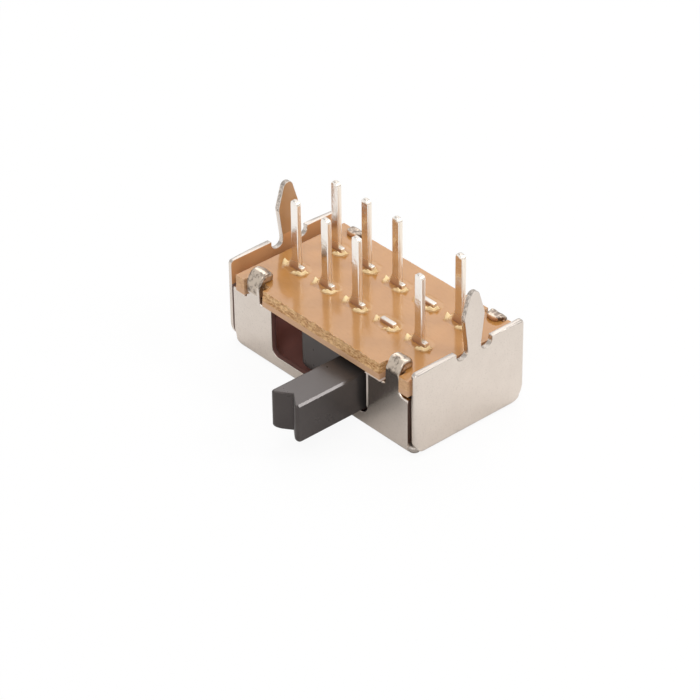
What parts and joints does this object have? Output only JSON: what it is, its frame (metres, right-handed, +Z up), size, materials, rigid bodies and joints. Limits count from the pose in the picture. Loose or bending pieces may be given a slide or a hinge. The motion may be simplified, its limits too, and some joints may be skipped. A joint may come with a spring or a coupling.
{
  "type": "slide switch",
  "caption": "Miniature right-angle slide switch: folded metal case with leaf-shaped mounting lugs, brown terminal board with upright solder pins, dark swallow-tail sliding knob",
  "frame": {"origin": "centre of the pin pattern, on the underside of the case floor", "axes": "+X along the case and the knob's travel, +Y away from the knob, +Z up through the pins; the switch lies on its case floor"},
  "size_m": [0.0122, 0.0101, 0.0074],
  "materials": {
    "case_metal": "satin nickel plate",
    "phenolic": "semi-gloss paper phenolic",
    "fibre": "matte red-brown fibre",
    "tinned_metal": "bright tin plate",
    "knob_plastic": "satin dark grey",
    "spring_bronze": "bright",
    "spring_steel": "bright"
  },
  "bodies": {
    "frame": {"case": "case_metal", "terminal_board": "phenolic", "floor_liner": "fibre", "front_terminal_1": "tinned_metal", "front_terminal_2": "tinned_metal", "front_terminal_3": "tinned_metal", "front_terminal_4": "tinned_metal", "back_terminal_1": "tinned_metal", "back_terminal_2": "tinned_metal", "back_terminal_3": "tinned_metal", "back_terminal_4": "tinned_metal"},
    "carriage": {"slider": "knob_plastic", "front_contact_clip": "spring_bronze", "back_contact_clip": "spring_bronze", "detent_spring": "spring_steel", "detent_ball": "spring_steel"}
  },
  "joints": [
    {"name": "knob_slide", "type": "slide", "parent": "frame", "child": "carriage", "axis": [1, 0, 0], "range_m": [-0.004, 0]}
  ]
}
